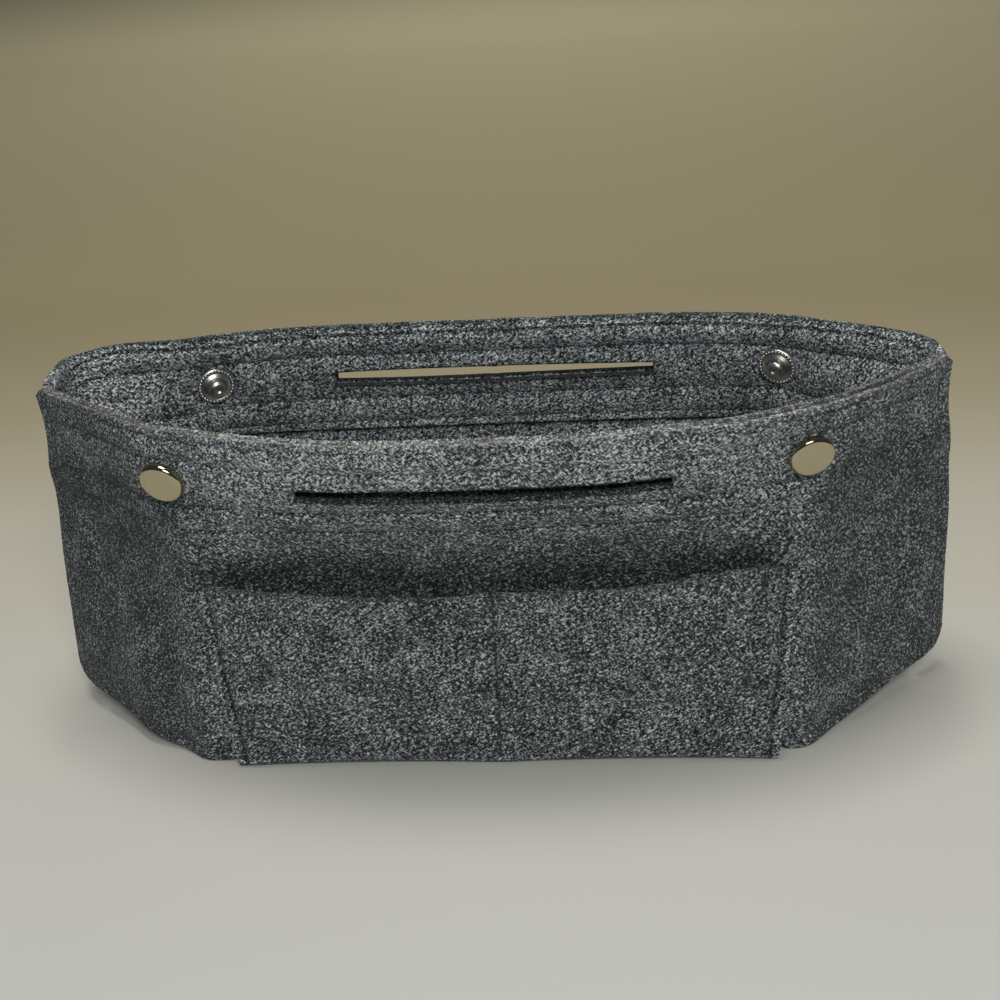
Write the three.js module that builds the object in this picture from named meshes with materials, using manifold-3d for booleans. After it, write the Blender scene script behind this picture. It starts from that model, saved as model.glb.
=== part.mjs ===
// Purse organizer insert: a boat-shaped tray of grey felt that stands inside a handbag.
// Two felt walls are sewn together at both ends with the raw edges outward. A felt base closes
// the tray below, and one felt strip runs from the front wall under the base to the rear wall,
// sewn in three lines so that it makes two flat pockets outside each wall. Each rim is doubled
// by a facing and has a hand slot. Two press studs near the ends draw the walls together.
// Millimetres, +Z up, +X along the length, the front wall towards -Y, origin under the base.

import * as THREE from 'three';
import { mergeVertices } from 'three/addons/utils/BufferGeometryUtils.js';
import Module from 'manifold-3d';

const wasm = await Module();
wasm.setup();

// Felt, thread and the air between pieces that touch
const FELT = 2;
const LAYER_GAP = 0.3;
const THREAD = 0.5;
const THREAD_GAP = 0.6;
const SEAT_GAP = 0.4;

// Walls: half lengths run from the middle to the raw end, reaches from the seam plane outward
const HEIGHT = 109;
const RIM_HALF_LENGTH = 129;
const FOOT_HALF_LENGTH = 135;
const FOOT_HEIGHT = 12.5;
const FLANGE = 8;
const CORNER_RADIUS = 8;
const BASE_HALF_LENGTH = 90;
const BASE_HALF_DEPTH = 38;
const BASE_CORNER_ROUND = 10;
const BASE_TIP_HALF_DEPTH = 1;
const WALLS = {
  front: { sign: -1, reach: 49.5, flare: 2, waist: 8.5, splay: 6, fullness: { left: 3.3, right: 2.55 } },
  rear: { sign: 1, reach: 37.5, flare: 3, waist: 0, splay: 5, fullness: { left: 5.4, right: 4.8 } },
};
const WAIST_HEIGHT = 62;
const WAIST_SPREAD = 26;
const WAIST_FADE = 6;

// The sewn ends carry on in the front wall's direction, and the two rims part there above the seam
const FLANGE_LEAN = 0.8;
const SPLAY_RISE = 6;

// Rim facing, its stitch lines below the rim, and the hand slot
const FACING_DEPTH = 35;
const STITCHES_BELOW_RIM = { rim: 2.4, slot_upper: 8.9, slot_lower: 23.8, facing: 32 };
const SLOT_BELOW_RIM = 16.4;
const SLOT_LENGTH = 103;
const SLOT_WIDTH = 3.4;

// Pocket strip
const POCKET_HEIGHT = 58;
const POCKET_HALF_LENGTH = 82;
const POCKET_STITCH_INSET = 3;
const POCKET_BULGE = 5;
const POCKET_BULGE_FOOT = 12;
const WALL_TUCK = 3;
const WALL_TUCK_HEIGHT = 60;
const WALL_TUCK_SPREAD = 18;

// Press studs: place on the wall, then radii and heights of the pressed metal pieces
const SNAP_FROM_MIDDLE = { front: 89.8, rear: 92.4 };
const SNAP_BELOW_RIM = 15.2;
const CAP = { radius: 6.25, height: 1.9, edge: 0.9 };
const POST = { radius: 1.9, headRadius: 2.8, headHeight: 0.4 };
const SOCKET = { radius: 5.75, height: 3.4, floor: 0.5, bore: 2.9, lip: 0.5, groove: 3.9, edge: 0.4 };
const SPRING = { radius: 2.7, wire: 0.3, opening: 0.7 };
const STUD = { radius: 5.9, flange: 1.1, edge: 0.4, neck: 2.1, knob: 2.5, neckHeight: 1.4, knobHeight: 1 };
const EYELET = { radius: 4.8, height: 0.9, tube: 1.5, bore: 1, wall: 1.5 };
const METAL_GAP = 0.1;
const TUBE_END_GAP = 0.5;

// Fineness of the curved sheets, the turned metal and the threads
const FLANGE_STEPS = 3;
const END_STEPS = 5;
const MIDDLE_STEPS = 14;
const WALL_ROWS = 6;
const FACING_ROWS = 3;
const STRIP_COLUMNS = 16;
const STRIP_ROWS = 7;
const STRIP_CORNER_STEPS = 3;
const BASE_ROWS = 4;
const TURNED_SIDES = 16;
const LINE_STEPS = 28;
const SHORT_LINE_STEPS = 8;

const SEAM_HALF_LENGTH = FOOT_HALF_LENGTH - FLANGE;
const PANEL_FOOT = FELT + LAYER_GAP;
const FACING_FOOT = HEIGHT - FACING_DEPTH;
const STACK_LOW = FELT + LAYER_GAP / 2;
const STACK_HIGH = STACK_LOW + FELT + LAYER_GAP;
const STACK_TAPER = 8;
const RIM_STACK = 2 * FELT + LAYER_GAP;
const POCKET_STITCH = POCKET_HALF_LENGTH - POCKET_STITCH_INSET;
const SEAT_IN = -RIM_STACK - SEAT_GAP;

function material(color, roughness, metalness) {
  return new THREE.MeshStandardMaterial({ color, roughness, metalness });
}
const feltMaterial = () => material(0x54585d, 0.95, 0);
const threadMaterial = () => material(0x3c4046, 0.7, 0);
const nickelMaterial = () => material(0xc9c7c1, 0.18, 1);
const springMaterial = () => material(0xa9a9a6, 0.3, 1);

const insert = new THREE.Group();

function addPiece(name, geometry, material, parent = insert) {
  const mesh = new THREE.Mesh(geometry, material);
  mesh.name = name;
  parent.add(mesh);
  return mesh;
}

// Solids and cuts

function toManifold(geometry) {
  const plain = geometry.clone();
  plain.deleteAttribute('normal');
  plain.deleteAttribute('uv');
  const merged = mergeVertices(plain, 1e-5);
  return new wasm.Manifold(new wasm.Mesh({
    numProp: 3,
    vertProperties: new Float32Array(merged.attributes.position.array),
    triVerts: new Uint32Array(merged.index.array),
  }));
}

function cut(geometry, cutters) {
  let solid = toManifold(geometry);
  for (const cutter of cutters) {
    solid = solid.subtract(toManifold(cutter));
  }
  const mesh = solid.getMesh();
  const result = new THREE.BufferGeometry();
  result.setAttribute('position', new THREE.BufferAttribute(new Float32Array(mesh.vertProperties), 3));
  result.setIndex(new THREE.BufferAttribute(new Uint32Array(mesh.triVerts), 1));
  return result;
}

// A closed sheet between an outer and an inner grid of points
function sheet(outer, inner) {
  const rows = outer.length;
  const columns = outer[0].length;
  const positions = [...outer.flat(), ...inner.flat()].flatMap((p) => [p.x, p.y, p.z]);
  const index = [];
  const at = (layer, row, column) => (layer * rows + row) * columns + column;
  const quad = (a, b, c, d) => index.push(a, b, c, a, c, d);
  for (let r = 0; r < rows - 1; r++) {
    for (let c = 0; c < columns - 1; c++) {
      quad(at(0, r, c), at(0, r, c + 1), at(0, r + 1, c + 1), at(0, r + 1, c));
      quad(at(1, r, c), at(1, r + 1, c), at(1, r + 1, c + 1), at(1, r, c + 1));
    }
  }
  for (let c = 0; c < columns - 1; c++) {
    quad(at(0, 0, c), at(1, 0, c), at(1, 0, c + 1), at(0, 0, c + 1));
    quad(at(0, rows - 1, c), at(0, rows - 1, c + 1), at(1, rows - 1, c + 1), at(1, rows - 1, c));
  }
  for (let r = 0; r < rows - 1; r++) {
    quad(at(0, r, 0), at(0, r + 1, 0), at(1, r + 1, 0), at(1, r, 0));
    const last = columns - 1;
    quad(at(0, r, last), at(1, r, last), at(1, r + 1, last), at(0, r + 1, last));
  }
  if (signedVolume(positions, index) < 0) {
    for (let i = 0; i < index.length; i += 3) {
      [index[i], index[i + 1]] = [index[i + 1], index[i]];
    }
  }
  const geometry = new THREE.BufferGeometry();
  geometry.setAttribute('position', new THREE.Float32BufferAttribute(positions, 3));
  geometry.setIndex(index);
  return geometry;
}

function signedVolume(positions, index) {
  const corner = (i) => new THREE.Vector3().fromArray(positions, 3 * i);
  let volume = 0;
  for (let i = 0; i < index.length; i += 3) {
    volume += corner(index[i]).dot(corner(index[i + 1]).cross(corner(index[i + 2])));
  }
  return volume;
}

// Wall surface: u runs along the flat panel from its middle, z is the height

const { clamp, smoothstep, lerp } = THREE.MathUtils;

// Share of the way across one pocket: 0 on the sewn lines, 1 halfway between them
function pocketBell(x) {
  const share = Math.abs(x) / POCKET_STITCH;
  return share < 1 ? 4 * share * (1 - share) : 0;
}

function wallX(u, z) {
  return u * lerp(1, RIM_HALF_LENGTH / FOOT_HALF_LENGTH, z / HEIGHT);
}

function wallU(x, z) {
  return x / lerp(1, RIM_HALF_LENGTH / FOOT_HALF_LENGTH, z / HEIGHT);
}

// Depth of the base's outline at u, as a share of its middle: 1 along the middle, 0 at the side seam,
// with the corner between rounded
function baseOutline(u) {
  const run = SEAM_HALF_LENGTH - BASE_HALF_LENGTH;
  const share = clamp((SEAM_HALF_LENGTH - Math.abs(u)) / run, 0, 1 + BASE_CORNER_ROUND / run);
  const round = BASE_CORNER_ROUND / run;
  const past = Math.max(share - (1 - round), 0);
  return share - past ** 2 / (4 * round);
}

// Outer face of a wall before its tuck behind the pockets
function plainWall(side, u, z) {
  const wall = WALLS[side];
  const open = clamp(Math.abs(u) / SEAM_HALF_LENGTH, 0, 1);
  const lens = 1 - open ** wall.fullness[u < 0 ? 'left' : 'right'];
  const flare = clamp(z / HEIGHT, 0, 1) ** wall.flare;
  const spread = smoothstep(z, FACING_FOOT - STACK_TAPER, FACING_FOOT);
  const atSeam = smoothstep(Math.abs(u), SEAM_HALF_LENGTH - FLANGE, SEAM_HALF_LENGTH);
  const slant = lerp(1, Math.hypot(1, FLANGE_LEAN), atSeam);
  const stack = slant * lerp(STACK_LOW, STACK_HIGH, spread);
  const foot = baseOutline(u) * (BASE_HALF_DEPTH - STACK_LOW);
  const rim = lens * (wall.reach - STACK_HIGH);
  const atWaist = Math.exp(-(((z - WAIST_HEIGHT) / WAIST_SPREAD) ** 2));
  const drawnIn = wall.waist * (1 - open ** WAIST_FADE) * atWaist;
  const splay = wall.splay * (open * clamp(z / HEIGHT, 0, 1)) ** SPLAY_RISE;
  const lean = FLANGE_LEAN * Math.max(Math.abs(u) - SEAM_HALF_LENGTH, 0);
  const out = stack + lerp(foot, rim, flare) - drawnIn + splay;
  return new THREE.Vector3(wallX(u, z), wall.sign * out + lean, z);
}

function tuckedWall(side, u, z) {
  const point = plainWall(side, u, z);
  const fade = Math.exp(-(((z - WALL_TUCK_HEIGHT) / WALL_TUCK_SPREAD) ** 2));
  point.y -= WALLS[side].sign * WALL_TUCK * pocketBell(point.x) * fade;
  return point;
}

// Unit normal of a surface, turned away from the tray's inside
function outward(surface, side, u, z) {
  const step = 0.5;
  const along = surface(side, u + step, z).sub(surface(side, u - step, z));
  const up = surface(side, u, z + step).sub(surface(side, u, z - step));
  const normal = along.cross(up).normalize();
  return normal.y * WALLS[side].sign < 0 ? normal.negate() : normal;
}

function offWall(surface, side, u, z, distance) {
  return surface(side, u, z).addScaledVector(outward(surface, side, u, z), distance);
}

// Outline of the flat panel: chamfered lower corners, all corners rounded

function cornerDrop(u) {
  const into = Math.abs(u) - (FOOT_HALF_LENGTH - CORNER_RADIUS);
  return into > 0 ? CORNER_RADIUS - Math.sqrt(Math.max(CORNER_RADIUS ** 2 - into ** 2, 0)) : 0;
}

function chamferHeight(u) {
  const share = clamp((Math.abs(u) - BASE_HALF_LENGTH) / (FOOT_HALF_LENGTH - BASE_HALF_LENGTH), 0, 1);
  return lerp(PANEL_FOOT, FOOT_HEIGHT, share);
}

function spaced(from, to, steps) {
  return Array.from({ length: steps + 1 }, (_, i) => lerp(from, to, i / steps));
}

const halfColumns = [
  ...spaced(0, BASE_HALF_LENGTH, MIDDLE_STEPS / 2),
  ...spaced(BASE_HALF_LENGTH, SEAM_HALF_LENGTH, END_STEPS).slice(1),
  ...spaced(SEAM_HALF_LENGTH, FOOT_HALF_LENGTH, FLANGE_STEPS).slice(1),
];
const wallColumns = [...halfColumns.slice(1).reverse().map((u) => -u), ...halfColumns];

// Row heights of a wall: facingRows are shared by panel and facing, so that their faces stay parallel
const facingRows = (u) => spaced(FACING_FOOT, HEIGHT - cornerDrop(u), FACING_ROWS);
const panelRows = (u) => [
  ...spaced(chamferHeight(u) + cornerDrop(u), FACING_FOOT, WALL_ROWS),
  ...facingRows(u).slice(1),
];

// A point above the panel's flat facets, between the grid points that carry them
function offPanel(side, u, z, distance) {
  const after = (list, value) => clamp(list.findIndex((entry) => entry > value), 1, list.length - 1);
  const between = (list, next, value) => (value - list[next - 1]) / (list[next] - list[next - 1]);
  const onColumn = (column) => {
    const rows = panelRows(column);
    const next = after(rows, z);
    const lower = offWall(tuckedWall, side, column, rows[next - 1], distance);
    return lower.lerp(offWall(tuckedWall, side, column, rows[next], distance), between(rows, next, z));
  };
  const next = after(wallColumns, u);
  return onColumn(wallColumns[next - 1]).lerp(onColumn(wallColumns[next]), between(wallColumns, next, u));
}

// One felt layer of a wall between two depths under the panel's outer face
function wallLayer(side, rowsAt, outerDepth, innerDepth) {
  const heights = wallColumns.map(rowsAt);
  const grid = (depth) => heights[0].map((_, row) => wallColumns.map((u, column) => {
    return offWall(tuckedWall, side, u, heights[column][row], -depth);
  }));
  return sheet(grid(outerDepth), grid(innerDepth));
}

// The hand slot as a curved block that passes through panel and facing
function slotCutter(side) {
  const middle = HEIGHT - SLOT_BELOW_RIM;
  const heights = [middle - SLOT_WIDTH / 2, middle + SLOT_WIDTH / 2];
  const columns = spaced(-SLOT_LENGTH / 2, SLOT_LENGTH / 2, MIDDLE_STEPS);
  const grid = (distance) => heights.map((z) => {
    return columns.map((u) => offWall(tuckedWall, side, u, z, distance));
  });
  return sheet(grid(FELT), grid(-RIM_STACK - FELT));
}

// Press studs sit square on the wall: local +Z points out of the wall, 0 on the panel's outer face

function snapPlace(side, end) {
  const u = end * SNAP_FROM_MIDDLE[side];
  const z = HEIGHT - SNAP_BELOW_RIM;
  const place = new THREE.Group();
  place.position.copy(tuckedWall(side, u, z));
  place.quaternion.setFromUnitVectors(new THREE.Vector3(0, 0, 1), outward(tuckedWall, side, u, z));
  place.updateMatrixWorld();
  return place;
}

function turned(profile) {
  const points = profile.map(([radius, height]) => new THREE.Vector2(radius, height));
  return new THREE.LatheGeometry(points, TURNED_SIDES).rotateX(Math.PI / 2);
}

function snapHole(place, radius) {
  const length = 2 * (RIM_STACK + FELT);
  const hole = new THREE.CylinderGeometry(radius, radius, length, TURNED_SIDES).rotateX(Math.PI / 2);
  return hole.applyMatrix4(place.matrixWorld);
}

// The felt is pressed flat under the metal on the inner face
function snapSeat(place, radius) {
  const depth = RIM_STACK;
  const press = new THREE.CylinderGeometry(radius, radius, depth, TURNED_SIDES).rotateX(Math.PI / 2);
  return press.translate(0, 0, SEAT_IN + LAYER_GAP - depth / 2).applyMatrix4(place.matrixWorld);
}

const SNAP_ENDS = { left: -1, right: 1 };
const places = {};
for (const side of ['front', 'rear']) {
  places[side] = {};
  for (const [end, direction] of Object.entries(SNAP_ENDS)) {
    places[side][end] = snapPlace(side, direction);
  }
}

// Felt walls and facings

const HOLE_RADIUS = { front: POST.radius + LAYER_GAP, rear: EYELET.tube + LAYER_GAP };
const SEAT_RADIUS = { front: SOCKET.radius + LAYER_GAP, rear: STUD.radius + LAYER_GAP };
for (const side of ['front', 'rear']) {
  const holes = Object.values(places[side]).map((place) => snapHole(place, HOLE_RADIUS[side]));
  const seats = Object.values(places[side]).map((place) => snapSeat(place, SEAT_RADIUS[side]));
  const cutters = [slotCutter(side), ...holes];
  const panel = wallLayer(side, panelRows, 0, FELT);
  const facing = wallLayer(side, facingRows, FELT + LAYER_GAP, RIM_STACK);
  addPiece(`${side}_panel`, cut(panel, cutters), feltMaterial());
  addPiece(`${side}_facing`, cut(facing, [...cutters, ...seats]), feltMaterial());
}

// Felt base: a flat middle and two pointed ends that rise along the chamfers

function basePanel() {
  const chamferRun = SEAM_HALF_LENGTH - BASE_HALF_LENGTH;
  const foot = BASE_HALF_DEPTH - STACK_LOW;
  const chamferStretch = Math.hypot(1, foot / chamferRun);
  const clear = (FELT + LAYER_GAP) * chamferStretch + LAYER_GAP;
  const halfDepth = (x) => STACK_LOW + baseOutline(x) * foot - clear;
  const tip = SEAM_HALF_LENGTH - chamferRun * ((BASE_TIP_HALF_DEPTH - STACK_LOW + clear) / foot);
  const ends = spaced(BASE_HALF_LENGTH, tip, BASE_ROWS);
  const half = [...spaced(0, BASE_HALF_LENGTH, BASE_ROWS), ...ends.slice(1)];
  const columns = [...half.slice(1).reverse().map((x) => -x), ...half];
  const grid = (lift) => spaced(-1, 1, BASE_ROWS).map((share) => columns.map((x) => {
    return new THREE.Vector3(x, share * halfDepth(x), chamferHeight(x) + lift);
  }));
  return sheet(grid(FELT), grid(0));
}
addPiece('base_panel', basePanel(), feltMaterial());

// Pocket strip: down the front wall, round the panel's foot, under the base and up the rear wall

function pocketBulge(x, z) {
  return POCKET_BULGE * pocketBell(x) * smoothstep(z, POCKET_BULGE_FOOT, POCKET_HEIGHT);
}

function pocketFace(side, x, z, depth) {
  return offWall(plainWall, side, wallU(x, z), z, LAYER_GAP + pocketBulge(x, z) + depth);
}

function stripGrid(depth) {
  const columns = spaced(-POCKET_HALF_LENGTH, POCKET_HALF_LENGTH, STRIP_COLUMNS);
  const wallRows = (side) => spaced(POCKET_HEIGHT, PANEL_FOOT, STRIP_ROWS)
    .map((z) => columns.map((x) => pocketFace(side, x, z, depth)));
  const cornerRows = (side) => spaced(0, Math.PI / 2, STRIP_CORNER_STEPS).slice(1)
    .map((angle) => columns.map((x) => new THREE.Vector3(
      x,
      WALLS[side].sign * (BASE_HALF_DEPTH + (LAYER_GAP + depth) * Math.cos(angle)),
      PANEL_FOOT - (LAYER_GAP + depth) * Math.sin(angle),
    )));
  const half = (side) => [...wallRows(side), ...cornerRows(side)];
  return [...half('front'), ...half('rear').reverse()];
}
addPiece('pocket_strip', sheet(stripGrid(FELT), stripGrid(0)), feltMaterial());

// Sewing thread: thin tubes that lie on the felt along each stitched line

class Line extends THREE.Curve {
  constructor(pointAt) {
    super();
    this.pointAt = pointAt;
  }

  getPoint(share, target = new THREE.Vector3()) {
    return target.copy(this.pointAt(share));
  }
}

function thread(name, pointAt, steps) {
  const half = THREAD / 2;
  const section = new THREE.Shape([
    new THREE.Vector2(half, 0),
    new THREE.Vector2(0, half),
    new THREE.Vector2(-half, 0),
    new THREE.Vector2(0, -half),
  ]);
  const path = new Line(pointAt);
  addPiece(name, new THREE.ExtrudeGeometry(section, { steps, extrudePath: path }), threadMaterial());
}

const THREAD_LIFT = THREAD_GAP + THREAD / 2;
const LINE_END = SEAM_HALF_LENGTH - THREAD;
for (const side of ['front', 'rear']) {
  for (const [line, below] of Object.entries(STITCHES_BELOW_RIM)) {
    const z = HEIGHT - below;
    const pointAt = (share) => offPanel(side, lerp(-LINE_END, LINE_END, share), z, THREAD_LIFT);
    thread(`${side}_${line}_stitch`, pointAt, LINE_STEPS);
  }
  for (const [line, x] of [['left', -POCKET_STITCH], ['middle', 0], ['right', POCKET_STITCH]]) {
    const foot = PANEL_FOOT + FELT;
    const mouth = POCKET_HEIGHT - THREAD;
    const pointAt = (share) => pocketFace(side, x, lerp(foot, mouth, share), FELT + THREAD_LIFT);
    thread(`${side}_pocket_${line}_stitch`, pointAt, SHORT_LINE_STEPS);
  }
  for (const [end, direction] of Object.entries(SNAP_ENDS)) {
    const rise = FELT + LAYER_GAP;
    const start = Math.max(BASE_HALF_LENGTH, POCKET_HALF_LENGTH + THREAD_LIFT);
    const pointAt = (share) => {
      const u = lerp(start, SEAM_HALF_LENGTH - THREAD, share);
      return offPanel(side, direction * u, chamferHeight(u) + rise, THREAD_LIFT);
    };
    thread(`${side}_base_${end}_stitch`, pointAt, SHORT_LINE_STEPS);
  }
}
for (const [end, direction] of Object.entries(SNAP_ENDS)) {
  const u = direction * (SEAM_HALF_LENGTH + 2 * THREAD);
  const low = FOOT_HEIGHT + FELT;
  const high = HEIGHT - FELT;
  const pointAt = (share) => offPanel('front', u, lerp(low, high, share), THREAD_LIFT);
  thread(`${end}_side_seam`, pointAt, SHORT_LINE_STEPS);
}

// Metal of the press studs, heights measured from the panel's outer face

function cap() {
  const under = SEAT_GAP;
  const top = under + CAP.height;
  const floor = SEAT_IN - SOCKET.floor - METAL_GAP;
  const round = CAP.edge * Math.SQRT1_2;
  return turned([
    [0, floor - POST.headHeight],
    [POST.headRadius, floor - POST.headHeight],
    [POST.headRadius, floor],
    [POST.radius, floor],
    [POST.radius, under],
    [CAP.radius - CAP.edge / 2, under],
    [CAP.radius, under + CAP.edge / 2],
    [CAP.radius, top - CAP.edge],
    [CAP.radius - CAP.edge + round, top - CAP.edge + round],
    [CAP.radius - CAP.edge, top],
    [0, top],
  ]);
}

function socket() {
  const face = SEAT_IN - SOCKET.height;
  const hole = POST.radius + LAYER_GAP;
  return turned([
    [hole, SEAT_IN - SOCKET.floor],
    [SOCKET.groove, SEAT_IN - SOCKET.floor],
    [SOCKET.groove, face + SOCKET.lip],
    [SOCKET.bore, face + SOCKET.lip],
    [SOCKET.bore, face],
    [SOCKET.radius - SOCKET.edge, face],
    [SOCKET.radius, face + SOCKET.edge],
    [SOCKET.radius, SEAT_IN],
    [hole, SEAT_IN],
    [hole, SEAT_IN - SOCKET.floor],
  ]);
}

// The socket's spring is an open ring of wire under the lip
function spring() {
  const height = SEAT_IN - SOCKET.height + SOCKET.lip + METAL_GAP + SPRING.wire;
  const sweep = 2 * Math.PI - SPRING.opening;
  const pointAt = (share) => {
    const angle = SPRING.opening / 2 + sweep * share;
    return new THREE.Vector3(SPRING.radius * Math.cos(angle), SPRING.radius * Math.sin(angle), height);
  };
  const section = new THREE.Shape().absarc(0, 0, SPRING.wire, 0, 2 * Math.PI);
  const settings = { steps: TURNED_SIDES, curveSegments: 3, extrudePath: new Line(pointAt) };
  return new THREE.ExtrudeGeometry(section, settings);
}

function stud() {
  const flange = SEAT_IN - STUD.flange;
  const shoulder = flange - STUD.neckHeight;
  const tip = shoulder - STUD.knobHeight;
  const bore = EYELET.tube + METAL_GAP;
  const boreEnd = shoulder;
  return turned([
    [0, tip],
    [STUD.knob * Math.SQRT1_2, tip],
    [STUD.knob, tip + STUD.knobHeight / 2],
    [STUD.knob, shoulder - METAL_GAP],
    [STUD.neck, shoulder],
    [STUD.neck, flange],
    [STUD.radius - STUD.edge, flange],
    [STUD.radius, flange + STUD.edge],
    [STUD.radius, SEAT_IN],
    [bore, SEAT_IN],
    [bore, boreEnd],
    [0, boreEnd],
  ]);
}

function eyelet() {
  const top = SEAT_GAP + EYELET.height;
  const end = SEAT_IN - STUD.flange - STUD.neckHeight + TUBE_END_GAP;
  return turned([
    [0, end],
    [EYELET.tube, end],
    [EYELET.tube, SEAT_GAP],
    [EYELET.radius - EYELET.height / 2, SEAT_GAP],
    [EYELET.radius, SEAT_GAP + EYELET.height / 2],
    [EYELET.radius - EYELET.height / 2, top],
    [EYELET.bore, top],
    [EYELET.bore, end + EYELET.wall],
    [0, end + EYELET.wall],
  ]);
}

for (const end of Object.keys(SNAP_ENDS)) {
  const front = places.front[end];
  const rear = places.rear[end];
  insert.add(front, rear);
  addPiece(`${end}_snap_cap`, cap(), nickelMaterial(), front);
  addPiece(`${end}_snap_socket`, socket(), nickelMaterial(), front);
  addPiece(`${end}_snap_spring`, spring(), springMaterial(), front);
  addPiece(`${end}_snap_stud`, stud(), nickelMaterial(), rear);
  addPiece(`${end}_snap_eyelet`, eyelet(), nickelMaterial(), rear);
}

export default insert;
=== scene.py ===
import math

import bmesh
import bpy
from mathutils import Matrix, Vector, noise


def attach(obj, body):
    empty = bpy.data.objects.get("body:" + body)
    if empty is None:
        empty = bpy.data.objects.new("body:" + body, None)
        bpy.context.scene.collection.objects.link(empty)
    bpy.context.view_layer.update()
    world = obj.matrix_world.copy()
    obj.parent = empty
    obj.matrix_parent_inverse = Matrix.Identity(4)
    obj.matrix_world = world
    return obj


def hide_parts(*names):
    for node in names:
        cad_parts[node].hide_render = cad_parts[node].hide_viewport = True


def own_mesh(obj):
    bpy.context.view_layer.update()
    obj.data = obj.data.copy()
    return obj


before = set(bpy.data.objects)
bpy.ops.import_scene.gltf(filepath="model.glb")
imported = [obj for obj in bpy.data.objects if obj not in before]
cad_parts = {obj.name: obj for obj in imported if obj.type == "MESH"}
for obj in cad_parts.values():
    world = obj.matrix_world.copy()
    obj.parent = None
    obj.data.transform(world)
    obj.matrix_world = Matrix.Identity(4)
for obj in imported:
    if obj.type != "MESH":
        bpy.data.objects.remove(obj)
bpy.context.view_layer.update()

# A felt purse insert. Sizes are in millimetres, as its cut pattern gives them, and each mesh is turned to metres
# when it is put in the scene.
MM = 0.001
FELT = 2.0
LAYER_GAP = 0.3
HEIGHT = 109.0
RIM_HALF_LENGTH = 129.0
FOOT_HALF_LENGTH = 135.0
FOOT_HEIGHT = 9.0
FLANGE = 8.0
CORNER_RADIUS = 4.0
BASE_HALF_LENGTH = 90.0
BASE_HALF_DEPTH = 38.0
BASE_CORNER_ROUND = 4.0
WALLS = {
    "front": {
        "sign": -1, "reach": 49.5, "flare": 2.0, "waist": 8.5, "splay": 6.0,
        "fullness": {"left": 3.3, "right": 2.55},
    },
    "rear": {
        "sign": 1, "reach": 37.5, "flare": 3.0, "waist": 0.0, "splay": 5.0,
        "fullness": {"left": 5.4, "right": 4.8},
    },
}
WAIST_HEIGHT = 62.0
WAIST_SPREAD = 26.0
WAIST_FADE = 6
FLANGE_LEAN = 0.8
SPLAY_RISE = 6
FACING_DEPTH = 34.0
STITCHES_BELOW_RIM = {"rim": 2.4, "slot_upper": 8.9, "slot_lower": 23.8, "facing": 32.0}
SLOT_BELOW_RIM = 16.4
SLOT_LENGTH = 103.0
SLOT_WIDTH = 3.4
POCKET_HEIGHT = 58.0
POCKET_HALF_LENGTH = 82.0
POCKET_STITCH = 79.0
POCKET_BULGE = 5.0
POCKET_BULGE_FOOT = 12.0
WALL_TUCK = 3.0
WALL_TUCK_HEIGHT = 60.0
WALL_TUCK_SPREAD = 18.0
SNAP_FROM_MIDDLE = {"front": 89.8, "rear": 92.4}
SNAP_BELOW_RIM = 15.2

SEAM_HALF_LENGTH = FOOT_HALF_LENGTH - FLANGE
SEAM_STITCH = SEAM_HALF_LENGTH + 4.5
PANEL_FOOT = FELT + LAYER_GAP
FACING_FOOT = HEIGHT - FACING_DEPTH
STACK_LOW = FELT + LAYER_GAP / 2
STACK_HIGH = STACK_LOW + FELT + LAYER_GAP
STACK_TAPER = 40.0
RIM_STACK = 2 * FELT + LAYER_GAP
SEAT_IN = -RIM_STACK - 0.4

# At the sewn ends the panels meet close under the foot of the facings
SEWN_FROM = 112.0
SEWN_TAPER = 5.0
SEWN_RISE = 9.0

# Sewing draws the felt in along each stitched line, and the felt swells between two lines
STITCH_DRAW = 0.75
STITCH_DRAW_WIDTH = 0.6
SWELL_SHARE = 0.12
SWELL_MOST = 1.3
STITCH_PITCH = 3.2
STITCH_LENGTH = 2.3
THREAD = 0.55

# All of the insert's felt and sewing hang on one body
LINER = "felt_liner"


def clamp(value, low, high):
    return min(max(value, low), high)


def lerp(a, b, share):
    return a + (b - a) * share


def smooth(value, low, high):
    share = clamp((value - low) / (high - low), 0.0, 1.0)
    return share * share * (3.0 - 2.0 * share)


def end_of(u):
    return "left" if u < 0 else "right"


def bell(value, middle, spread_over):
    return math.exp(-(((value - middle) / spread_over) ** 2))


# Wall surface: u runs along the flat panel from its middle, z is the height

def pocket_bell(x):
    share = abs(x) / POCKET_STITCH
    return 4.0 * share * (1.0 - share) if share < 1.0 else 0.0


def taper(z):
    return lerp(1.0, RIM_HALF_LENGTH / FOOT_HALF_LENGTH, z / HEIGHT)


def base_outline(u):
    run = SEAM_HALF_LENGTH - BASE_HALF_LENGTH
    rounding = BASE_CORNER_ROUND / run
    share = clamp((SEAM_HALF_LENGTH - abs(u)) / run, 0.0, 1.0 + rounding)
    past = max(share - (1.0 - rounding), 0.0)
    return share - past ** 2 / (4.0 * rounding)


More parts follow.
